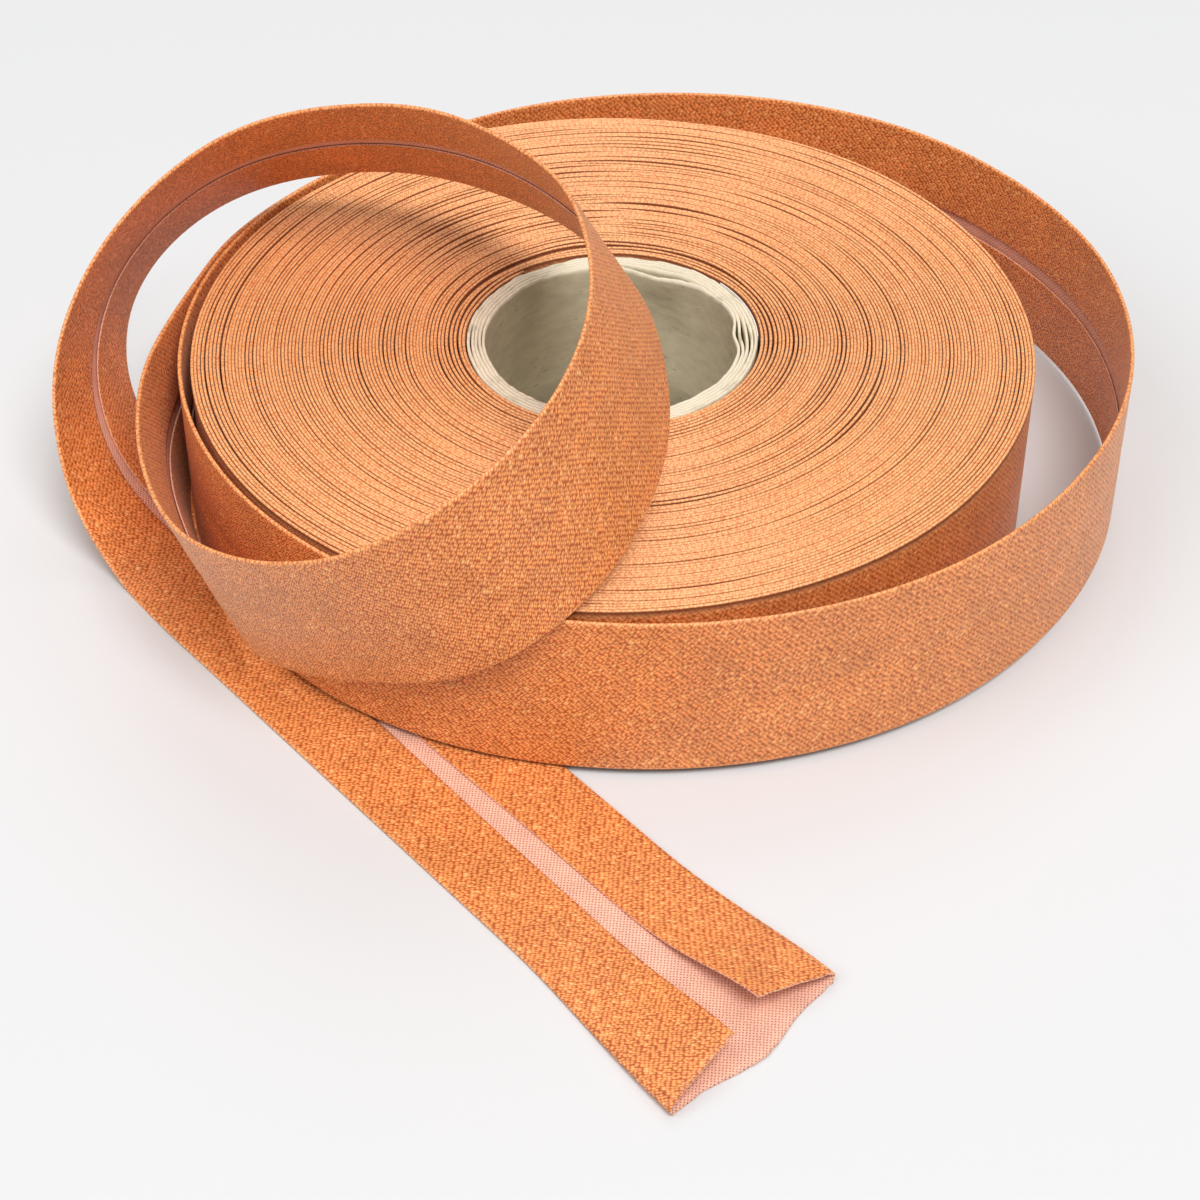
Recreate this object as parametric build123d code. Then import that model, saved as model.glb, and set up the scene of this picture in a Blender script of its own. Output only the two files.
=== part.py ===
from build123d import *
import math
import os

# A roll of satin bias binding: a wound pack of folded tape on a paper core, its outermost
# turn slack, and the free end looped over the pack and out under it along the floor.
# Millimetres, +Z up. The origin is on the core's axis, on the surface the roll stands on.

# ---- tape ----
tape_width = 25.0            # folded width
wound_thickness = 0.435      # folded tape pressed in the pack
winding_gap = 0.08           # air between one wound turn and the next
loose_thickness = 0.6        # folded tape where nothing presses it
layer_thickness = 0.25       # one layer of satin with its backing
flap_width = 10.7            # how far each edge is folded in
flap_clearance = 0.3         # air between the backing and a flap

# ---- wound pack ----
pack_radius = 60.0           # the wound turns stay inside this radius
pack_lift = 1.75             # the pack's lower face, clear of the tape that lies below it
pack_sections = 4            # the wound turns are divided into this many nodes
wound_end_angle = 128.0      # where the last wound turn ends, in degrees about +Z

# ---- core ----
core_bore_radius = 18.0
core_plies = ["core_liner", "core_ply_2", "core_ply_3", "core_ply_4", "core_wrap"]
core_ply_thickness = 0.5
core_glue_gap = 0.025
core_length = pack_lift + tape_width    # flush with the top of the pack
starter_strip_thickness = 0.15
starter_strip_angle = 40.0   # how far the adhesive strip reaches round the core
starter_strip_gap = 0.03

# ---- loose outermost turn: angle in degrees, clearance of its middle line from the pack ----
band_stations = [
    (128, 0.75), (150, 0.80), (180, 0.90), (215, 0.90), (250, 0.90), (268, 1.3), (280, 2.2),
    (294, 3.8), (309, 6.0), (325, 8.4), (339, 10.7), (352, 12.8), (363, 14.1), (376, 15.1),
    (393, 14.8), (409, 13.8), (420, 12.3), (433, 10.1), (443, 8.3), (452, 6.9), (460, 5.8),
    (468, 4.2), (478, 2.7), (490, 1.85), (505, 1.85), (517, 2.4),
]
# height of its lower edge, above the tape that passes beneath it on the left
band_lifts = [(128, 2.1), (180, 2.1), (205, 2.1), (235, 1.6), (265, 1.3), (390, 1.3), (517, 1.3)]
band_steps = 36              # route points taken round the loose turn

# ---- standing loop: x, y and height of the tape's middle line, and its lean in degrees ----
# The places are for a pack of route_pack_radius and a tape of route_tape_width, and they
# stretch with the real pack and the real tape.
route_pack_radius = 60.0
route_tape_width = 25.0
loop_stations = [
    (-60.9, 13.0, 14.5, 1), (-62.7, 1.3, 15.3, -3), (-63.2, -10.5, 15.7, -9),
    (-61.0, -22.1, 16.0, -15), (-57.2, -33.2, 16.6, -20), (-52.6, -44.0, 17.3, -19),
    (-44.9, -52.2, 19.7, -19), (-36.0, -58.4, 23.6, -19), (-26.7, -63.0, 28.6, -13),
    (-17.2, -63.9, 34.7, 1), (-8.5, -59.6, 40.0, 13), (-2.2, -51.2, 43.7, 19),
    (1.2, -41.0, 45.7, 22), (2.2, -30.1, 46.9, 24), (1.2, -19.3, 47.9, 26),
    (-1.8, -8.7, 48.7, 29), (-7.5, 0.6, 49.0, 32), (-14.7, 8.8, 48.7, 34),
    (-23.1, 15.8, 47.8, 36), (-32.8, 21.0, 46.2, 39), (-43.9, 23.8, 43.5, 40),
    (-54.9, 23.5, 39.8, 40), (-64.4, 20.1, 34.9, 36), (-72.6, 13.0, 27.0, 20),
    (-75.3, 5.9, 19.2, -8), (-74.4, 0.0, 12.5, -37), (-70.3, -5.9, 6.1, -65),
    (-64.3, -11.4, 2.1, -82), (-60.2, -15.3, 0.75, -89),
]

# ---- straight run along the floor, measured along the tape from the point nearest the axis ----
run_heading = -50.0          # degrees from +X
run_offset = pack_radius - 3.7           # distance of the run's middle line from the axis
run_start = -0.25 * pack_radius
run_step = 9.0
run_relief = 0.1             # the run lies this far above the floor

# ---- tail: the free end, hinged to the floor run just past where an opened flap clears the
# ---- loose turn standing on the floor
band_reach = 2.8             # the standing turn's outer face, out from the pack
tail_hinge_margin = 1.33
opened_flap_offset = run_offset - tape_width / 2 - flap_width
band_crossing = math.sqrt((pack_radius + band_reach) ** 2 - opened_flap_offset**2)
tail_hinge_at = band_crossing + tail_hinge_margin
tail_end_at = tail_hinge_at + 39.8
tail_end_width = tape_width + 2.6        # the pressed folds relax towards the cut end
tail_hinge_gap = 0.3         # each side of the hinge line
crease_gap = 0.3             # between a crease line and the plates beside it

# ---- nodes of the free tape: name and first point of the route; each ends where the next starts
tape_sections = [
    ("outer_turn", 0), ("front_band", 12), ("right_band", 18), ("back_band", 24),
    ("rear_wrap", 30), ("loop_left", 36), ("loop_front", 43), ("loop_crest", 49),
    ("loop_rear", 55), ("loop_drop", 60), ("floor_run", 65),
]
section_pitch = 6.0          # length of tape between two cross-sections of a node
tangent_reach = 0.5          # the route's direction is taken over this far each way


def solve_spline(knots, values):
    """Second derivatives of the natural cubic spline through values at knots."""
    count = len(knots)
    diagonal = [1.0] * count
    upper = [0.0] * count
    lower = [0.0] * count
    right = [0.0] * count
    for i in range(1, count - 1):
        before = knots[i] - knots[i - 1]
        after = knots[i + 1] - knots[i]
        lower[i] = before
        diagonal[i] = 2 * (before + after)
        upper[i] = after
        slope_after = (values[i + 1] - values[i]) / after
        slope_before = (values[i] - values[i - 1]) / before
        right[i] = 6 * (slope_after - slope_before)
    for i in range(1, count):
        factor = lower[i] / diagonal[i - 1]
        diagonal[i] -= factor * upper[i - 1]
        right[i] -= factor * right[i - 1]
    bends = [0.0] * count
    for i in range(count - 2, -1, -1):
        bends[i] = (right[i] - upper[i] * bends[i + 1]) / diagonal[i]
    return bends


class SmoothValue:
    """One value that varies smoothly along a route."""

    def __init__(self, knots, values):
        self.knots = knots
        self.values = values
        self.bends = solve_spline(knots, values)

    def at(self, place):
        i = 0
        while i < len(self.knots) - 2 and place > self.knots[i + 1]:
            i += 1
        span = self.knots[i + 1] - self.knots[i]
        a = (self.knots[i + 1] - place) / span
        b = 1 - a
        straight = a * self.values[i] + b * self.values[i + 1]
        curved = (a**3 - a) * self.bends[i] + (b**3 - b) * self.bends[i + 1]
        return straight + curved * span**2 / 6


def run_point(along, across=0.0, height=0.0):
    """A point of the floor run: along it, across it (positive away from the axis), and up."""
    heading = math.radians(run_heading)
    forward = Vector(math.cos(heading), math.sin(heading), 0)
    outward = Vector(math.sin(heading), -math.cos(heading), 0)
    return outward * (run_offset + across) + forward * along + Vector(0, 0, height)


def route_points():
    """Middle-line points (x, y, z, lean) of the free tape: loose turn, loop and floor run."""
    clearance = SmoothValue([s[0] for s in band_stations], [s[1] for s in band_stations])
    lift = SmoothValue([s[0] for s in band_lifts], [s[1] for s in band_lifts])
    first_angle = band_stations[0][0]
    last_angle = band_stations[-1][0]
    band = []
    for i in range(band_steps + 1):
        angle = first_angle + (last_angle - first_angle) * i / band_steps
        radius = pack_radius + clearance.at(angle)
        x = radius * math.cos(math.radians(angle))
        y = radius * math.sin(math.radians(angle))
        band.append((x, y, lift.at(angle) + tape_width / 2, 0.0))
    stretch = pack_radius / route_pack_radius
    rise = tape_width / route_tape_width
    loop = [(x * stretch, y * stretch, z * rise, lean) for x, y, z, lean in loop_stations]
    run = []
    along = run_start
    while along < tail_end_at:
        point = run_point(along, height=run_relief + loose_thickness / 2)
        run.append((point.X, point.Y, point.Z, -90.0))
        along += run_step
    return band + loop + run


route = route_points()
route_length = [0.0]
for here, following in zip(route, route[1:]):
    route_length.append(route_length[-1] + math.dist(here[:3], following[:3]))
route_x = SmoothValue(route_length, [p[0] for p in route])
route_y = SmoothValue(route_length, [p[1] for p in route])
route_z = SmoothValue(route_length, [p[2] for p in route])
route_lean = SmoothValue(route_length, [p[3] for p in route])


def middle(place):
    return Vector(route_x.at(place), route_y.at(place), route_z.at(place))


def section_corners(place):
    """The four corners of the tape's section: top outer, top inner, bottom inner, bottom outer."""
    forward = (middle(place + tangent_reach) - middle(place - tangent_reach)).normalized()
    upright = (Vector(0, 0, 1) - forward * forward.Z).normalized()
    sideways = upright.cross(forward)
    lean = math.radians(route_lean.at(place))
    across = upright * math.cos(lean) + sideways * math.sin(lean)
    outward = forward.cross(across)
    half_width = across * (tape_width / 2)
    half_thickness = outward * (loose_thickness / 2)
    centre = middle(place)
    return [
        centre + half_width + half_thickness,
        centre + half_width - half_thickness,
        centre - half_width - half_thickness,
        centre - half_width + half_thickness,
    ]


def ribbon(start, end):
    """A closed solid of the free tape between two places along its route."""
    steps = math.ceil((end - start) / section_pitch)
    rows = [section_corners(start + (end - start) * i / steps) for i in range(steps + 1)]
    marks = [i / steps for i in range(steps + 1)]
    rails = [
        Edge.make_spline([row[corner] for row in rows], parameters=marks) for corner in range(4)
    ]
    faces = [Face.make_surface_from_curves(rails[i], rails[(i + 1) % 4]) for i in range(4)]
    for row in (rows[0], rows[-1]):
        faces.append(Face(Wire.make_polygon(row, close=True)))
    return Solid(Shell(faces))


def tube(inner_radius, outer_radius, bottom, length):
    ring = Circle(outer_radius) - Circle(inner_radius)
    return Pos(0, 0, bottom) * extrude(ring, length)


def half_turn(index, radius_offset, pitch, start_radius):
    """One semicircle of a flat spiral, starting on the line at wound_end_angle."""
    side = 1 if index % 2 == 0 else -1
    radius = start_radius + pitch * (index / 2 + 0.25) + radius_offset
    centre = -side * pitch / 4
    return [
        (centre + side * radius, 0.0),
        (centre, side * radius),
        (centre - side * radius, 0.0),
    ]


def wound_turns(first, last, pitch, start_radius):
    """The wound tape from one half turn to another, standing on its edge."""
    inner = [half_turn(i, 0.0, pitch, start_radius) for i in range(first, last)]
    outer = [half_turn(i, wound_thickness, pitch, start_radius) for i in range(first, last)]
    edges = [ThreePointArc(*points) for points in inner]
    edges.append(Line(inner[-1][2], outer[-1][2]))
    edges += [ThreePointArc(*reversed(points)) for points in reversed(outer)]
    edges.append(Line(outer[0][0], inner[0][0]))
    face = make_face(edges)
    turned = Rot(0, 0, wound_end_angle) * face
    return Pos(0, 0, pack_lift) * extrude(turned, tape_width)


def flat_plate(corners, bottom):
    face = make_face(Polyline(*corners, close=True))
    return Pos(0, 0, bottom) * extrude(face, layer_thickness)


def tail_corner(along, across):
    point = run_point(along, across)
    return (point.X, point.Y)


os.makedirs("parts", exist_ok=True)
nodes = {}

# ---- paper core: plies wound one over the other ----
ply_radius = core_bore_radius
for name in core_plies:
    nodes[name] = tube(ply_radius, ply_radius + core_ply_thickness, 0, core_length)
    ply_radius += core_ply_thickness + core_glue_gap
core_outer_radius = ply_radius - core_glue_gap

# ---- adhesive strip that holds the tape's first turn ----
strip_inner = core_outer_radius
strip_outer = strip_inner + starter_strip_thickness
strip_sector = make_face(
    [
        Line((0, 0), (2 * strip_outer, 0)),
        CenterArc((0, 0), 2 * strip_outer, 0, starter_strip_angle),
        PolarLine((0, 0), 2 * strip_outer, starter_strip_angle),
    ]
)
strip_ring = tube(strip_inner, strip_outer, pack_lift, tape_width)
strip_wedge = Pos(0, 0, pack_lift) * extrude(strip_sector, tape_width)
nodes["starter_strip"] = strip_ring & strip_wedge

# ---- wound turns ----
start_radius = strip_outer + starter_strip_gap
turn_pitch = wound_thickness + winding_gap
turn_count = math.floor((pack_radius - start_radius - wound_thickness) / turn_pitch)
for section in range(pack_sections):
    first = 2 * round(turn_count * section / pack_sections)
    last = 2 * round(turn_count * (section + 1) / pack_sections)
    nodes[f"wound_turns_{section + 1}"] = wound_turns(first, last, turn_pitch, start_radius)

# ---- free tape: the loose turn, the standing loop and the run along the floor ----
starts = [route_length[first] for name, first in tape_sections]
run_first = tape_sections[-1][1] + 1
hinge_place = route_length[run_first] + tail_hinge_at - run_start - tail_hinge_gap
for (name, first), start, end in zip(tape_sections, starts, starts[1:] + [hinge_place]):
    nodes[name] = ribbon(start, end)

# ---- tail: the backing plate and the two folded-in flaps ----
half_start = tape_width / 2
half_end = tail_end_width / 2
tail_start = tail_hinge_at + tail_hinge_gap
base_outline = [
    tail_corner(tail_start, -half_start + crease_gap),
    tail_corner(tail_end_at, -half_end + crease_gap),
    tail_corner(tail_end_at, half_end - crease_gap),
    tail_corner(tail_start, half_start - crease_gap),
]
nodes["tail_base"] = flat_plate(base_outline, 0)
flap_height = layer_thickness + flap_clearance
for name, side in (("tail_flap_left", 1), ("tail_flap_right", -1)):
    outline = [
        tail_corner(tail_start, side * (half_start - crease_gap)),
        tail_corner(tail_end_at, side * (half_end - crease_gap)),
        tail_corner(tail_end_at, side * (half_end - flap_width)),
        tail_corner(tail_start, side * (half_start - flap_width)),
    ]
    nodes[name] = flat_plate(outline, flap_height)

for name, shape in nodes.items():
    export_step(shape, f"parts/{name}.step")
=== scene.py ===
import math

import bpy
import numpy as np
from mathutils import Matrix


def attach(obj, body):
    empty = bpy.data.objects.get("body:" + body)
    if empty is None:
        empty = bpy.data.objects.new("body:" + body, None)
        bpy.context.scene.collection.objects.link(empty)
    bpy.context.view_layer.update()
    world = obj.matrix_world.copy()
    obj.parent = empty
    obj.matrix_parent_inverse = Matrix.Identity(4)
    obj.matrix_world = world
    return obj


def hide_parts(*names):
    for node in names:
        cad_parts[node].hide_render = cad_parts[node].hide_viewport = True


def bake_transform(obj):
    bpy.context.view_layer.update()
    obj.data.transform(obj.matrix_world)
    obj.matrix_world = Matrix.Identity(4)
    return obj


# A roll of satin bias binding. Lengths are in millimetres until a mesh is made. Every length of
# tape is a real sheet: a base, a round fold at each side and two edges folded in, satin outside
# and a pink wrong side within.

MM = 0.001
rng = np.random.default_rng(7)

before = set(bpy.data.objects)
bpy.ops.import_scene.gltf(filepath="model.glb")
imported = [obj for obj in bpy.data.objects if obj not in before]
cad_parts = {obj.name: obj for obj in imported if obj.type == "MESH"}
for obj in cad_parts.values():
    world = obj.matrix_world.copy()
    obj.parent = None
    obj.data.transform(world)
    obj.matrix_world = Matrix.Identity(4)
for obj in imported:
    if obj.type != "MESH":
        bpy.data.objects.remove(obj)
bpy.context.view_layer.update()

# ---------------------------------------------------------------- sizes shared with the frame

tape_width = 25.0
pack_radius = 60.0
pack_lift = 1.75
wound_end_angle = 128.0
core_bore_radius = 18.0
core_ply_thickness = 0.5
core_glue_gap = 0.025
core_height = pack_lift + tape_width
first_turn_radius = 20.78
turn_pitch = 0.515
turn_splits = (0, 19, 38, 56, 75)
run_heading = -50.0
run_inset = 3.7              # of the floor run's middle from the pack's edge
run_offset = pack_radius - run_inset
run_start = -0.25 * pack_radius
run_step = 9.0
run_height = 0.4
tail_hinge_at = 54.7

# ---------------------------------------------------------------- the tape's own shape

cloth_thickness = 0.2
fold_radius = 0.19           # of the cloth's middle, at a pressed fold
gap_standing = 2.1           # between the folded edges, on the loop and the pack
gap_tail_start = 3.6
gap_tail_end = 4.9
tail_end_width = 28.8
tail_fold_radius = 0.9       # the folds relax at the cut end
tail_flap_lift = 13.0        # degrees
relax_start = 62.0           # along the floor run, where the folds begin to relax
relax_end = 95.0

# ---------------------------------------------------------------- route of the loose tape

# angle about the axis in degrees, clearance of the tape's middle line from the pack
band_stations = [
    (128, 0.75), (150, 0.80), (180, 0.90), (215, 0.90), (250, 0.90), (268, 1.3), (280, 2.2),
    (294, 3.8), (309, 6.0), (325, 8.4), (339, 10.7), (352, 12.8), (363, 14.1), (376, 15.1),
    (393, 14.8), (409, 13.8), (420, 12.3), (433, 10.1), (443, 8.3), (452, 6.9), (460, 5.8),
    (468, 4.2), (478, 2.7), (490, 1.85), (505, 1.85), (517, 2.4),
]
# height of its lower edge
band_lifts = [(128, 2.1), (180, 2.1), (205, 2.1), (235, 1.6), (265, 1.3), (390, 1.3), (517, 1.3)]
band_steps = 36

# x, y and height of the tape's middle line, and its lean in degrees
loop_stations = [
    (-60.9, 13.0, 14.5, 1), (-62.7, 1.3, 15.3, -3), (-63.2, -10.5, 15.7, -9),
    (-61.0, -22.1, 16.0, -15), (-57.2, -33.2, 16.6, -20), (-52.6, -44.0, 17.3, -19),
    (-44.9, -52.2, 19.7, -19), (-36.0, -58.4, 23.6, -19), (-26.7, -63.0, 28.6, -13),
    (-17.2, -63.9, 34.7, 1), (-8.5, -59.6, 40.0, 13), (-2.2, -51.2, 43.7, 19),
    (1.2, -41.0, 45.7, 22), (2.2, -30.1, 46.9, 24), (1.2, -19.3, 47.9, 26),
    (-1.8, -8.7, 48.7, 29), (-7.5, 0.6, 49.0, 32), (-14.7, 8.8, 48.7, 34),
    (-23.1, 15.8, 47.8, 36), (-32.8, 21.0, 46.2, 39), (-43.9, 23.8, 43.5, 40),
    (-54.9, 23.5, 39.8, 40), (-64.4, 20.1, 34.9, 36), (-72.6, 13.0, 27.0, 20),
    (-75.3, 5.9, 19.2, -8), (-74.4, 0.0, 12.5, -37), (-70.3, -5.9, 6.1, -65),
    (-64.3, -11.4, 2.1, -82), (-60.2, -15.3, 0.75, -89),
]
run_end = 96.0

heading = math.radians(run_heading)
run_forward = np.array([math.cos(heading), math.sin(heading), 0.0])
run_outward = np.array([math.sin(heading), -math.cos(heading), 0.0])


def run_point(along, across=0.0, height=0.0):
    """A point beside the floor run: along it, across it away from the axis, and up."""
    return run_outward * (run_offset + across) + run_forward * along + np.array([0, 0, height])


class SmoothLine:
    """A natural cubic spline through rows of values."""

    def __init__(self, knots, values):
        self.knots = np.asarray(knots, float)
        self.values = np.asarray(values, float)
        count = len(self.knots)
        step = np.diff(self.knots)
        matrix = np.eye(count)
        right = np.zeros_like(self.values)
        for i in range(1, count - 1):
            matrix[i, i - 1:i + 2] = step[i - 1], 2 * (step[i - 1] + step[i]), step[i]
            slope_after = (self.values[i + 1] - self.values[i]) / step[i]
            slope_before = (self.values[i] - self.values[i - 1]) / step[i - 1]
            right[i] = 6 * (slope_after - slope_before)
        self.bends = np.linalg.solve(matrix, right)

    def at(self, places):
        i = np.clip(np.searchsorted(self.knots, places) - 1, 0, len(self.knots) - 2)
        span = self.knots[i + 1] - self.knots[i]
        a = ((self.knots[i + 1] - places) / span)[:, None]
        b = 1 - a
        span = span[:, None]
        curved = (a**3 - a) * self.bends[i] + (b**3 - b) * self.bends[i + 1]
        return a * self.values[i] + b * self.values[i + 1] + curved * span**2 / 6


def make_route():
    clearance = SmoothLine([s[0] for s in band_stations], [[s[1]] for s in band_stations])
    angles = np.linspace(band_stations[0][0], band_stations[-1][0], band_steps + 1)
    radii = pack_radius + clearance.at(angles)[:, 0]
    turned = np.radians(angles)
    lift = SmoothLine([s[0] for s in band_lifts], [[s[1]] for s in band_lifts])
    heights = lift.at(angles)[:, 0] + tape_width / 2
    rows = [
        (r * math.cos(t), r * math.sin(t), h, 0.0) for r, t, h in zip(radii, turned, heights)
    ]
    rows += loop_stations
    first_run_row = len(rows)
    for along in np.arange(run_start, run_end, run_step):
        rows.append((*run_point(along, height=run_height), -90.0))
    rows = np.array(rows, float)
    steps = np.linalg.norm(np.diff(rows[:, :3], axis=0), axis=1)
    lengths = np.concatenate([[0.0], np.cumsum(steps)])
    return SmoothLine(lengths, rows), lengths[first_run_row]


route, run_first_place = make_route()


def place_of_run(along):
    """The place along the route of a distance along the floor run."""
    return run_first_place + along - run_start


def smooth_step(value, low, high):
    t = np.clip((value - low) / (high - low), 0, 1)
    return t * t * (3 - 2 * t)


def soft_noise(places, pitch, seed):
    """Smooth noise along a line, one random value every pitch, about -1 to 1."""
    knots = np.random.default_rng(seed).uniform(-1, 1, int(places.max() / pitch) + 3)
    cell = np.floor(places / pitch).astype(int)
    t = smooth_step(places / pitch - cell, 0, 1)
    return knots[cell] * (1 - t) + knots[cell + 1] * t


# ---------------------------------------------------------------- the folded section

def half_section(half_width, radius, gap, lift, with_base, with_flap, fine):
    """Middle points, normals and flat distances of half a folded section, from the tape's
    middle outwards. All sizes are arrays, one value for each station. The result's arrays
    have a row for each station."""
    points = []
    normals = []
    flats = []
    run = half_width - radius
    if with_base:
        marks = (0, 0.25, 0.5, 0.75, 1.0, 1.25, 1.7, 2.4, 4.0, 6.5, 9.0) if fine else (0, 6.0)
        for mark in marks:
            points.append((np.full_like(run, mark), radius))
            normals.append((np.zeros_like(run), np.ones_like(run)))
            flats.append(np.full_like(run, mark))
        for inset in (1.0, 0.4, 0.0) if fine else (1.2, 0.0):
            points.append((run - inset, radius))
            normals.append((np.zeros_like(run), np.ones_like(run)))
            flats.append(run - inset)
        arc_steps = 6 if fine else 4
        for i in range(1, arc_steps):
            turn = (math.pi - lift) * i / arc_steps
            points.append((run + radius * np.sin(turn), radius * np.cos(turn)))
            normals.append((np.sin(turn), np.cos(turn)))
            flats.append(run + radius * turn)
        if not with_flap:
            turn = math.pi - lift
            points.append((run + radius * np.sin(turn), radius * np.cos(turn)))
            normals.append((np.sin(turn), np.cos(turn)))
            flats.append(run + radius * turn)
    if with_flap:
        turn = math.pi - lift
        flap = half_width - radius - gap / 2
        start = (run + radius * np.sin(turn), radius * np.cos(turn))
        marks = (0, 0.04, 0.1, 0.25, 0.45, 0.65, 0.82, 0.93, 0.97, 1.0) if fine else (0, 0.12, 1.0)
        for mark in marks:
            reach = flap * mark
            points.append(
                (start[0] - reach * np.cos(lift), start[1] - reach * np.sin(lift))
            )
            normals.append((np.sin(lift), -np.cos(lift)))
            flats.append(run + radius * turn + reach)
    return (
        np.array([[p[0], p[1]] for p in points]).transpose(2, 0, 1),
        np.array([[n[0], n[1]] for n in normals]).transpose(2, 0, 1),
        np.array(flats).T,
    )


def whole_section(*sizes, with_flap=True, fine=True):
    """Both halves, from the raw edge at the tape's lower side to the one at its upper side."""
    points, normals, flats = half_section(*sizes, True, with_flap, fine)
    other = points[:, :0:-1].copy()
    other[..., 0] *= -1
    other_normals = normals[:, :0:-1].copy()
    other_normals[..., 0] *= -1
    return (
        np.concatenate([other, points], axis=1),
        np.concatenate([other_normals, normals], axis=1),
        np.concatenate([-flats[:, :0:-1], flats], axis=1),
    )


# ---------------------------------------------------------------- meshes

def link_object(name, mesh):
    obj = bpy.data.objects.new(name, mesh)
    bpy.context.scene.collection.objects.link(obj)
    return obj


def mesh_from_grid(name, grid, uv, slots, materials, closed_length=False, caps=None):
    """A mesh from a grid of points in mm: rows along the piece, each row a closed ring.
    uv has the grid's shape, slots gives a material for each step round the ring, and caps the
    pairs of ring places that close each end."""
    rows, ring = grid.shape[:2]
    row = np.arange(rows if closed_length else rows - 1)
    next_row = (row + 1) % rows
    place = np.arange(ring)
    next_place = (place + 1) % ring
    a = row[:, None] * ring + place[None, :]
    b = next_row[:, None] * ring + place[None, :]
    c = next_row[:, None] * ring + next_place[None, :]
    d = row[:, None] * ring + next_place[None, :]
    faces = np.stack([a, b, c, d], axis=-1).reshape(-1, 4)
    face_slots = np.tile(slots, len(row))
    if caps is not None:
        first = np.array(caps)
        last = first[:, ::-1] + (rows - 1) * ring
        faces = np.concatenate([faces, first, last])
        face_slots = np.concatenate([face_slots, np.ones(2 * len(first), int)])
    points = grid.reshape(-1, 3)
    p, q, r = points[faces[:, 0]], points[faces[:, 1]], points[faces[:, 2]]
    s = points[faces[:, 3]]
    inside = np.einsum("ij,ij->i", p, np.cross(q, r)) + np.einsum("ij,ij->i", p, np.cross(r, s))
    if inside.sum() < 0:
        faces = faces[:, ::-1]
    mesh = bpy.data.meshes.new(name)
    mesh.vertices.add(len(points))
    mesh.vertices.foreach_set("co", (points * MM).ravel())
    mesh.loops.add(faces.size)
    mesh.loops.foreach_set("vertex_index", faces.ravel())
    mesh.polygons.add(len(faces))
    mesh.polygons.foreach_set("loop_start", np.arange(0, faces.size, 4))
    mesh.polygons.foreach_set("material_index", face_slots)
    layer = mesh.uv_layers.new(name="Cloth")
    layer.data.foreach_set("uv", uv.reshape(-1, 2)[faces.ravel()].ravel())
    mesh.update()
    for material in materials:
        mesh.materials.append(material)
    cap_count = 2 * len(caps) if caps is not None else 0
    smooth = np.ones(len(faces), bool)
    smooth[len(faces) - cap_count:] = False
    mesh.polygons.foreach_set("use_smooth", smooth)
    return link_object(name, mesh)


def sheet_from_section(name, frames, section, lengths, materials, thickness=cloth_thickness):
    """A sheet swept along frames: a skin of satin outside and a skin of backing within."""
    centre, across, outward = frames
    points, normals, flats = section
    outer = points + normals * thickness / 2
    inner = points - normals * thickness / 2
    ring = np.concatenate([outer, inner[:, ::-1]], axis=1)
    grid = (
        centre[:, None, :]
        + across[:, None, :] * ring[..., 0:1]
        + outward[:, None, :] * ring[..., 1:2]
    )
    if lengths.ndim == 1:
        lengths = np.repeat(lengths[:, None], flats.shape[1], axis=1)
    uv = np.stack([lengths, flats], axis=-1)
    uv = np.concatenate([uv, uv[:, ::-1]], axis=1)
    count = flats.shape[1]
    slots = np.ones(2 * count, int)
    slots[:count - 1] = 0
    caps = [
        (i, i + 1, 2 * count - 2 - i, 2 * count - 1 - i) for i in range(count - 1)
    ]
    return mesh_from_grid(name, grid, uv, slots, materials, caps=caps)


def route_frames(places):
    reach = 0.5
    rows = route.at(places)
    forward = route.at(places + reach)[:, :3] - route.at(places - reach)[:, :3]
    forward /= np.linalg.norm(forward, axis=1)[:, None]
    up = np.array([0.0, 0.0, 1.0])
    upright = up - forward * forward[:, 2:3]
    upright /= np.linalg.norm(upright, axis=1)[:, None]
    sideways = np.cross(upright, forward)
    lean = np.radians(rows[:, 3:4])
    across = upright * np.cos(lean) + sideways * np.sin(lean)
    return rows[:, :3], across, np.cross(forward, across)


# ---------------------------------------------------------------- materials

class Shading:
    """A material with a Principled shader, and short ways to add nodes to it."""

    def __init__(self, name, roughness, specular):
        self.material = bpy.data.materials.new(name)
        self.material.use_nodes = True
        self.tree = self.material.node_tree
        self.shader = self.tree.nodes["Principled BSDF"]
        self.shader.inputs["Roughness"].default_value = roughness
        self.shader.inputs["Specular IOR Level"].default_value = specular

    def node(self, kind, inputs, output=0, **settings):
        made = self.tree.nodes.new(kind)
        for key, value in settings.items():
            setattr(made, key, value)
        for key, value in inputs.items():
            if isinstance(value, bpy.types.NodeSocket):
                self.tree.links.new(value, made.inputs[key])
            else:
                made.inputs[key].default_value = value
        return made.outputs[output]

    def math(self, operation, first, second=0.0):
        return self.node("ShaderNodeMath", {0: first, 1: second}, operation=operation)

    def blend(self, factor, first, second):
        return self.node(
            "ShaderNodeMix", {0: factor, 6: first, 7: second}, output=2, data_type="RGBA",
        )

    def span(self, value, low, high, to_low=0.0, to_high=1.0):
        return self.node(
            "ShaderNodeMapRange", {0: value, 1: low, 2: high, 3: to_low, 4: to_high}
        )

    def set(self, name, socket):
        self.tree.links.new(socket, self.shader.inputs[name])


def flat_coordinates(shading, turn, pitch_along, pitch_across):
    """Coordinates on the flat cloth, turned, in units of the two pitches."""
    uv = shading.node("ShaderNodeUVMap", {}, uv_map="Cloth")
    turned = shading.node(
        "ShaderNodeMapping", {0: uv, 2: (0, 0, turn)}, vector_type="POINT"
    )
    scaled = shading.node(
        "ShaderNodeMapping", {0: turned, 3: (1 / pitch_along, 1 / pitch_across, 1)},
        vector_type="POINT",
    )
    return uv, scaled


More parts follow.
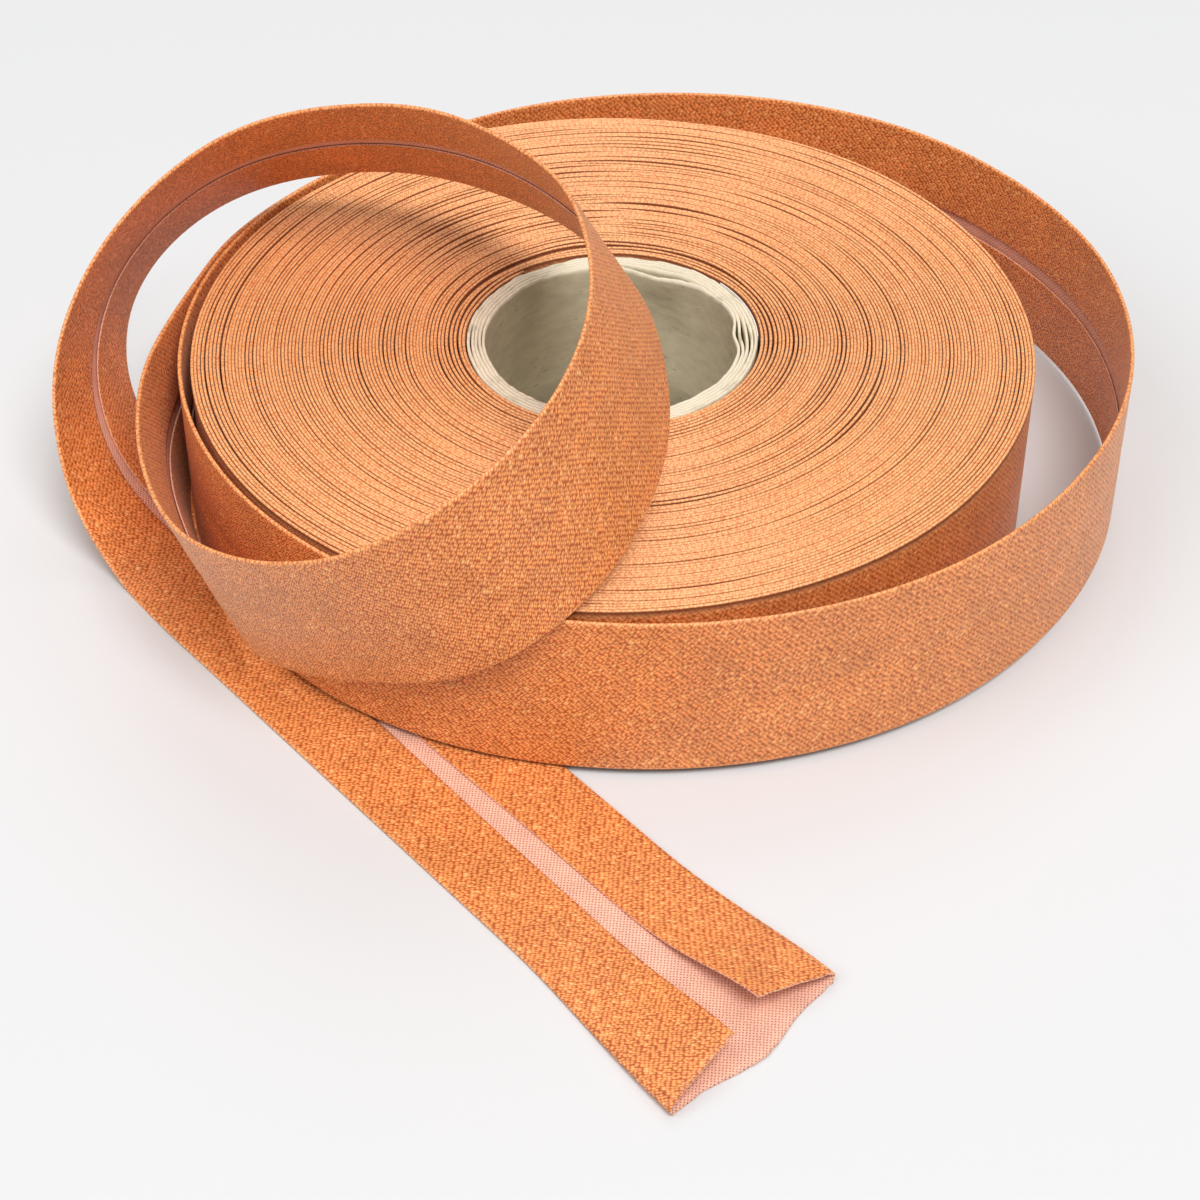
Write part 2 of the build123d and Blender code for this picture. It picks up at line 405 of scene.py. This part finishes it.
face_light = (1.0, 0.41, 0.125)
face_dark = (0.46, 0.08, 0.014)
# Painted highlight: paler colours for the tops of the wound folds, where they catch the light.
painted_fold_top_light = (1.0, 0.58, 0.29)
painted_fold_top_dark = (0.80, 0.30, 0.10)
# Painted highlight along the edge of every fold, loose and wound.
painted_crease_light = (1.0, 0.50, 0.20, 1)
painted_crease_dark = (0.66, 0.20, 0.055, 1)
# Painted glints, mixed into a few random beads.
painted_glint_colour = (1.0, 0.60, 0.24, 1)
# Painted shade, deep in the grooves between the wound turns.
painted_groove_shade = (0.16, 0.028, 0.006, 1)
pore_colour = (0.40, 0.14, 0.10, 1)
pink = (0.86, 0.49, 0.36, 1)
bead_length = 0.62
bead_width = 0.3
pore_pitch = 0.42
weave_relief = 0.00006       # metres
crease_place = 12.57         # of the side folds, across the flat cloth from its middle


def make_satin(name, light, dark, in_pack):
    """Copper satin, woven at 45 degrees to the tape, with painted glints on a few beads and a
    painted highlight along each fold's edge.
    Where the tape is wound, the fold tops get paler colours as a painted highlight, and the sides
    of each fold, deep in the groove beside the next turn, get painted shade."""
    s = Shading(name, roughness=0.45, specular=0.55)
    s.shader.inputs["Sheen Weight"].default_value = 0.12
    s.shader.inputs["Sheen Roughness"].default_value = 0.35
    s.shader.inputs["Sheen Tint"].default_value = (1.0, 0.78, 0.6, 1)
    uv, cells = flat_coordinates(s, math.radians(-45), bead_length, bead_width)
    bead = s.node(
        "ShaderNodeTexVoronoi", {"Vector": cells, "Scale": 1.0, "Randomness": 0.55},
        voronoi_dimensions="2D",
    )
    bead_colour = bead.node.outputs["Color"]
    bead_random = s.node("ShaderNodeSeparateColor", {0: bead_colour})
    thread = s.span(bead, 0.15, 0.62)
    across = s.node("ShaderNodeSeparateXYZ", {0: uv}, output=1)
    from_crease = s.math("ABSOLUTE", s.math("SUBTRACT", s.math("ABSOLUTE", across), crease_place))
    body = s.blend(thread, light + (1,), dark + (1,))
    # In the pack the fold tops keep the paler painted-highlight colours, which give way to the
    # ordinary face colours down the folds' sides.
    if in_pack:
        face = s.blend(thread, face_light + (1,), face_dark + (1,))
        body = s.blend(s.span(from_crease, 0.3, 1.6), body, face)
    uneven = s.node(
        "ShaderNodeTexNoise", {"Vector": uv, "Scale": 0.12, "Detail": 3.0, "Roughness": 0.55},
    )
    shade = s.span(uneven, 0.3, 0.7, 0.88, 1.08)
    varied = s.node("ShaderNodeHueSaturation", {"Color": body, "Value": shade})
    per_bead = s.span(bead_random, 0.0, 1.0, 0.82, 1.14)
    varied = s.node("ShaderNodeHueSaturation", {"Color": varied, "Value": per_bead})
    # Painted glints: a few random beads mixed toward a pale gold.
    glint = s.math("MULTIPLY", s.span(bead_random, 0.93, 0.99), 0.5)
    varied = s.blend(glint, varied, painted_glint_colour)
    # Painted highlight along each fold's edge.
    crease_highlight_mask = s.span(from_crease, 0.08, 0.45, 1.0, 0.0)
    crease = s.blend(thread, painted_crease_light, painted_crease_dark)
    varied = s.blend(s.math("MULTIPLY", crease_highlight_mask, 0.65), varied, crease)
    # Painted shade on the sides of each wound fold, deep in the groove beside the next turn.
    if in_pack:
        near = s.span(from_crease, 0.14, 0.26)
        far = s.span(from_crease, 0.5, 1.2, 1.0, 0.0)
        groove = s.math("MULTIPLY", near, far)
        varied = s.blend(s.math("MULTIPLY", groove, 0.9), varied, painted_groove_shade)
    s.set("Base Color", varied)
    bump = s.node("ShaderNodeBump", {"Strength": 0.5, "Distance": weave_relief, "Height": thread})
    bump.node.invert = True
    s.set("Normal", bump)
    return s.material


def make_backing():
    """The satin's wrong side: a pale pink open weave with dark pores."""
    s = Shading("Pink backing", roughness=0.8, specular=0.12)
    uv, cells = flat_coordinates(s, math.radians(45), pore_pitch, pore_pitch)
    pore = s.node(
        "ShaderNodeTexVoronoi", {"Vector": cells, "Scale": 1.0, "Randomness": 0.18},
        voronoi_dimensions="2D",
    )
    open_weave = s.span(pore, 0.14, 0.36)
    colour = s.blend(open_weave, pore_colour, pink)
    uneven = s.node("ShaderNodeTexNoise", {"Vector": uv, "Scale": 0.3, "Detail": 3.0})
    shade = s.span(uneven, 0.3, 0.7, 0.9, 1.08)
    colour = s.node("ShaderNodeHueSaturation", {"Color": colour, "Value": shade})
    s.set("Base Color", colour)
    bump = s.node(
        "ShaderNodeBump", {"Strength": 0.5, "Distance": weave_relief, "Height": open_weave}
    )
    s.set("Normal", bump)
    return s.material


def make_paper(name, face, rim):
    """Grey-brown kraft paper, paler and fuzzier where its upper rim is torn."""
    s = Shading(name, roughness=0.85, specular=0.15)
    place = s.node("ShaderNodeTexCoord", {}, output=3)
    fibres = s.node(
        "ShaderNodeMapping", {0: place, 3: (1, 1, 2.2)}, vector_type="POINT"
    )
    cloud = s.node(
        "ShaderNodeTexNoise", {"Vector": fibres, "Scale": 260.0, "Detail": 6.0, "Roughness": 0.65}
    )
    colour = s.blend(s.span(cloud, 0.35, 0.65), tuple(0.82 * c for c in face) + (1,), face + (1,))
    speck = s.node(
        "ShaderNodeTexNoise", {"Vector": fibres, "Scale": 900.0, "Detail": 2.0}
    )
    colour = s.blend(
        s.span(speck, 0.66, 0.74, 0.0, 0.55), colour, tuple(0.45 * c for c in face) + (1,)
    )
    height = s.node("ShaderNodeSeparateXYZ", {0: place}, output=2)
    torn = s.math("ADD", height, s.span(cloud, 0.3, 0.7, -0.0004, 0.0004))
    at_rim = s.span(torn, (core_height - 0.9) * MM, (core_height - 0.35) * MM)
    colour = s.blend(at_rim, colour, rim + (1,))
    s.set("Base Color", colour)
    bump = s.node("ShaderNodeBump", {"Strength": 0.6, "Distance": 0.0002, "Height": cloud})
    s.set("Normal", bump)
    return s.material


satin = make_satin("Copper satin", face_light, face_dark, False)
# The wound pack's fold tops get the painted-highlight colours.
wound_satin = make_satin("Wound satin", painted_fold_top_light, painted_fold_top_dark, True)
backing = make_backing()
kraft = make_paper("Kraft paper", (0.62, 0.54, 0.37), (0.78, 0.69, 0.53))
tissue = make_paper("Tissue tape", (0.75, 0.72, 0.65), (0.8, 0.78, 0.72))

# ---------------------------------------------------------------- loose tape

free_pitch = 1.3
end_margin = 0.03            # keeps the shading of a closed end off the face beside it


def section_sizes(places):
    """Half width, fold radius, gap between the folded edges and lift of the edges at places."""
    along = places - run_first_place + run_start
    to_tail = smooth_step(along, 5.0, 62.0)
    to_cut = smooth_step(along, relax_start, relax_end)
    half_width = tape_width / 2 + (tail_end_width - tape_width) / 2 * to_cut
    radius = fold_radius + (tail_fold_radius - fold_radius) * to_cut**2
    gap = gap_standing + (gap_tail_start - gap_standing) * to_tail
    gap = gap + (gap_tail_end - gap_tail_start) * to_cut
    lift = np.radians(tail_flap_lift) * to_cut**2
    return half_width, radius, gap, lift


def press_middle(section, gap):
    """Between the folded edges nothing backs the base, so it sinks a little there."""
    points = section[0]
    near = np.abs(points[..., 0]) < 5
    base = points[..., 1] > 0
    sink = 0.11 * np.exp(-(points[..., 0] / (gap[:, None] * 0.6)) ** 4)
    points[..., 1] -= np.where(near & base, sink, 0)


def free_tape_piece():
    end = place_of_run(tail_hinge_at)
    places = np.append(np.linspace(0, end - end_margin, int(end / free_pitch)), end)
    sizes = section_sizes(places)
    section = whole_section(*sizes)
    press_middle(section, sizes[2])
    centre, across, outward = route_frames(places)
    quiet = smooth_step(places, 300, 330) * (1 - smooth_step(places, 700, 735))
    centre = centre + outward * (0.25 * soft_noise(places, 24, 3) * quiet)[:, None]
    piece = sheet_from_section(
        "free_tape", (centre, across, outward), section, places, [satin, backing]
    )
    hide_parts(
        "outer_turn", "front_band", "right_band", "back_band", "rear_wrap", "loop_left",
        "loop_front", "loop_crest", "loop_rear", "loop_drop", "floor_run",
    )
    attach(piece, "loose_tape")
    return piece


# ---------------------------------------------------------------- tail

def base_cut(across):
    """Where the base is cut, as a distance along the run: slanting, with a tongue in the middle."""
    return 93.0 + 0.097 * across + 1.9 * np.exp(-((across / 6) ** 2))


def flap_cut(across):
    """Where a folded edge is cut: from the corner back to the tip."""
    left = 94.4 - 0.17 * (14.5 - across)
    right = 91.6 - 0.13 * (14.3 + across)
    return np.where(across > 0, left, right)


tail_rows = 46
tail_end_at = 94.0           # about where the tape is cut, along the run
tail_drift = 0.1
fray_reach = 0.12


def cut_to_length(grid_lengths, target):
    """Stretches the last part of each length so that it ends at its own cut."""
    start = grid_lengths[:1]
    t = (grid_lengths - start) / (grid_lengths[-1:] - start)
    return start + t * (target - start)


def tail_piece(name, side):
    """A piece of the free tail: side 0 is the base with its two round folds, and sides 1 and -1
    are the folded edges."""
    alongs = np.linspace(tail_hinge_at + end_margin, tail_end_at, tail_rows - 1)
    alongs = np.insert(alongs, 0, tail_hinge_at)
    places = place_of_run(alongs)
    sizes = section_sizes(places)
    if side == 0:
        section = whole_section(*sizes, with_flap=False)
        press_middle(section, sizes[2])
    else:
        section = list(half_section(*sizes, False, True, True))
        section[0][..., 0] *= side
        section[1][..., 0] *= side
        section[2] = section[2] * side
        if side < 0:
            section = [part[:, ::-1] for part in section]
    points, normals, flats = section
    thickness = cloth_thickness
    across_end = points[-1, :, 0]
    target = base_cut(across_end) if side == 0 else flap_cut(across_end)
    fray = fray_reach * np.random.default_rng(11 + side).uniform(-1, 1, len(across_end))
    lengths = cut_to_length(np.repeat(alongs[:, None], len(across_end), axis=1), target + fray)
    outer = points + normals * thickness / 2
    inner = points - normals * thickness / 2
    ring = np.concatenate([outer, inner[:, ::-1]], axis=1)
    ring_along = np.concatenate([lengths, lengths[:, ::-1]], axis=1)
    drift = tail_drift * smooth_step(alongs, relax_start, relax_end)[:, None]
    grid = (
        run_outward * (run_offset + ring[..., 0:1] + drift[..., None])
        + run_forward * ring_along[..., None]
        + np.array([0, 0, 1.0]) * (run_height + (sizes[1] - fold_radius)[:, None, None]
                                   - ring[..., 1:2])
    )
    uv = np.stack([place_of_run(lengths), flats], axis=-1)
    uv = np.concatenate([uv, uv[:, ::-1]], axis=1)
    count = flats.shape[1]
    slots = np.ones(2 * count, int)
    slots[:count - 1] = 0
    caps = [(i, i + 1, 2 * count - 2 - i, 2 * count - 1 - i) for i in range(count - 1)]
    piece = mesh_from_grid(name, grid, uv, slots, [satin, backing], caps=caps)
    return piece


def make_tail():
    base = tail_piece("tail_base_cloth", 0)
    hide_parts("tail_base")
    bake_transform(base)
    for name, side, body, node in (
        ("tail_left_fold", 1, "left_flap", "tail_flap_left"),
        ("tail_right_fold", -1, "right_flap", "tail_flap_right"),
    ):
        flap = tail_piece(name, side)
        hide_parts(node)
        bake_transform(flap)


# ---------------------------------------------------------------- wound pack

wound_cloth = 0.15
wound_fold_radius = 0.145
wound_layer = 2 * wound_fold_radius + wound_cloth
turn_steps = 132
angle_knots = 14
turn_count = turn_splits[-1]


def around(values, turned):
    """Smooth values round a turn from periodic knots: one row of knots for each turn."""
    place = (turned % 1.0) * angle_knots
    cell = np.floor(place).astype(int) % angle_knots
    t = smooth_step(place - np.floor(place), 0, 1)
    return lambda rows: (
        values[rows, cell] * (1 - t) + values[rows, (cell + 1) % angle_knots] * t
    )


def make_turn_spacing():
    """Inner radius of each turn at each angle knot. A few gaps are wide, most are closed."""
    gaps = rng.exponential(1.0, (turn_count, angle_knots)) ** 1.6
    gaps = (gaps + np.roll(gaps, 1, axis=1) + np.roll(gaps, -1, axis=1)) / 3
    wide = rng.random(turn_count) < 0.16
    gaps[wide] = 2.4 * (gaps[wide] + 0.6)
    gaps[1:5] = 2.5 * (gaps[1:5] + 0.8)
    gaps += 0.12
    gaps *= turn_count * (turn_pitch - wound_layer) / gaps.sum(axis=0)
    radii = np.zeros((turn_count + 2, angle_knots))
    radii[1:turn_count + 1] = np.cumsum(gaps + wound_layer, axis=0)
    radii[turn_count + 1] = radii[turn_count] + turn_pitch
    return first_turn_radius + radii


turn_radii = make_turn_spacing()
turn_heights = np.clip(rng.normal(0, 0.13, (turn_count + 2, angle_knots)), -0.28, 0.28)


def spiral_value(values, turns):
    k = np.minimum(np.floor(turns).astype(int), turn_count)
    f = turns - k
    pick = around(values, turns)
    return (1 - f) * pick(k) + f * pick(k + 1)


def wound_piece(number):
    first, last = turn_splits[number - 1], turn_splits[number]
    turns = np.linspace(first, last, (last - first) * turn_steps + 1)
    angle = np.radians(wound_end_angle) + 2 * math.pi * turns
    radius = spiral_value(turn_radii, turns) + wound_layer / 2
    height = pack_lift + tape_width / 2 + spiral_value(turn_heights, turns)
    out = np.stack([np.cos(angle), np.sin(angle), np.zeros_like(angle)], axis=-1)
    centre = out * radius[:, None]
    centre[:, 2] = height
    up = np.zeros_like(out)
    up[:, 2] = 1
    ones = np.ones_like(turns)
    half = tape_width / 2 * ones
    section = whole_section(
        half, wound_fold_radius * ones, gap_standing * ones, 0 * ones, fine=False
    )
    step = np.linalg.norm(np.diff(centre, axis=0), axis=1)
    lengths = np.concatenate([[0.0], np.cumsum(step)]) + 1000 * number
    piece = sheet_from_section(
        f"wound_cloth_{number}", (centre, up, out), section, lengths,
        [wound_satin, backing], thickness=wound_cloth,
    )
    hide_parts(f"wound_turns_{number}")
    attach(piece, "roll")


# ---------------------------------------------------------------- core

core_nodes = ["core_liner", "core_ply_2", "core_ply_3", "core_ply_4", "core_wrap"]
core_steps = 900


def angular_bump(angle, centre, half_spread):
    away = (angle - math.radians(centre) + math.pi) % (2 * math.pi) - math.pi
    return np.exp(-((away / math.radians(half_spread)) ** 2))


def core_ply(index, node):
    """One paper ply, torn and splayed along its upper rim."""
    angle = np.linspace(0, 2 * math.pi, core_steps, endpoint=False)
    base = core_bore_radius + index * (core_ply_thickness + core_glue_gap)
    length = angle * base
    shared = 0.2 * soft_noise(angle * core_bore_radius, 3.5, 40)
    tear = shared + 0.09 * soft_noise(length, 0.9, 50 + index)
    ends = smooth_step(np.minimum(angle, 2 * math.pi - angle), 0, 0.15)
    tear = tear * ends
    top = core_height - 0.1 - 0.07 * abs(index - 2) + tear
    crushed = angular_bump(angle, 3, 9)
    top = top - 0.5 * crushed * (index % 2)
    levels = (0.0, 0.3, 0.6, 0.8, 0.88, 0.94, 0.975, 1.0)
    inner = []
    outer = []
    splay = 0.9 - 0.35 * index
    lifted = (1.7, 0.25, 0, 0, 0)[index] * angular_bump(angle, 66, 17)
    wobble = 0.12 * soft_noise(length, 7, 60 + index) * ends
    for level in levels:
        near_rim = smooth_step(level, 0.7, 1.0)
        shift = -near_rim * (crushed * max(splay, -0.1) + lifted + wobble * 0.5)
        thin = 0.07 * smooth_step(level, 0.96, 1.0)
        for rows, radius in ((inner, base + thin), (outer, base + core_ply_thickness - thin)):
            r = radius + shift
            rows.append(np.stack([r * np.cos(angle), r * np.sin(angle), top * level], axis=-1))
    ring = np.stack(outer + inner[::-1], axis=1)
    drop = np.arange(ring.shape[1], dtype=float)
    uv = np.stack(np.broadcast_arrays(length[:, None], drop[None, :]), axis=-1)
    slots = np.zeros(ring.shape[1], int)
    piece = mesh_from_grid(f"{node}_paper", ring, uv, slots, [kraft], closed_length=True)
    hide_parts(node)
    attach(piece, "roll")


for index, node in enumerate(core_nodes):
    core_ply(index, node)
for number in range(1, len(turn_splits)):
    wound_piece(number)
free_tape_piece()

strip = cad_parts["starter_strip"]
strip.data.materials.clear()
strip.data.materials.append(tissue)

# ---------------------------------------------------------------- floor, light and camera

floor_mesh = bpy.data.meshes.new("floor")
floor_half = 3.0             # metres
floor_corners = [(-1, -1), (1, -1), (1, 1), (-1, 1)]
floor_mesh.from_pydata(
    [(x * floor_half, y * floor_half, 0) for x, y in floor_corners], [], [(0, 1, 2, 3)],
)
floor = link_object("floor", floor_mesh)
floor_paint = Shading("Pale floor", roughness=0.6, specular=0.2)
floor_paint.shader.inputs["Base Color"].default_value = (0.665, 0.67, 0.675, 1)
floor_mesh.materials.append(floor_paint.material)

make_tail()

world = bpy.data.worlds.new("Studio")
bpy.context.scene.world = world
world.use_nodes = True
sky = world.node_tree.nodes["Background"]
sky.inputs["Color"].default_value = (1.0, 0.995, 0.99, 1)
sky.inputs["Strength"].default_value = 0.33


def add_light(name, place, size, power, colour):
    lamp = bpy.data.lights.new(name, "AREA")
    lamp.shape = "DISK"
    lamp.size = size
    lamp.energy = power
    lamp.color = colour
    obj = bpy.data.objects.new(name, lamp)
    obj.location = place
    aim = obj.location.copy()
    obj.rotation_euler = aim.to_track_quat("Z", "Y").to_euler()
    bpy.context.scene.collection.objects.link(obj)


add_light("key", (0.5, -1.2, 2.3), 1.3, 56.0, (1.0, 0.995, 0.99))
add_light("fill", (-1.5, -0.9, 1.9), 2.2, 24.0, (0.995, 0.995, 1.0))
add_light("rear", (0.2, 1.6, 2.2), 2.0, 13.0, (0.99, 0.995, 1.0))
bpy.context.scene.view_settings.view_transform = "Standard"

camera_data = bpy.data.cameras.new("camera")
camera_data.lens = 80.85
camera_data.sensor_width = 36
camera_down = 40.77          # degrees below the level
camera = bpy.data.objects.new("camera", camera_data)
camera.location = (-0.0017, -0.3140, 0.2480)
camera.rotation_euler = (math.radians(90 - camera_down), 0, 0)
bpy.context.scene.collection.objects.link(camera)
bpy.context.scene.camera = camera
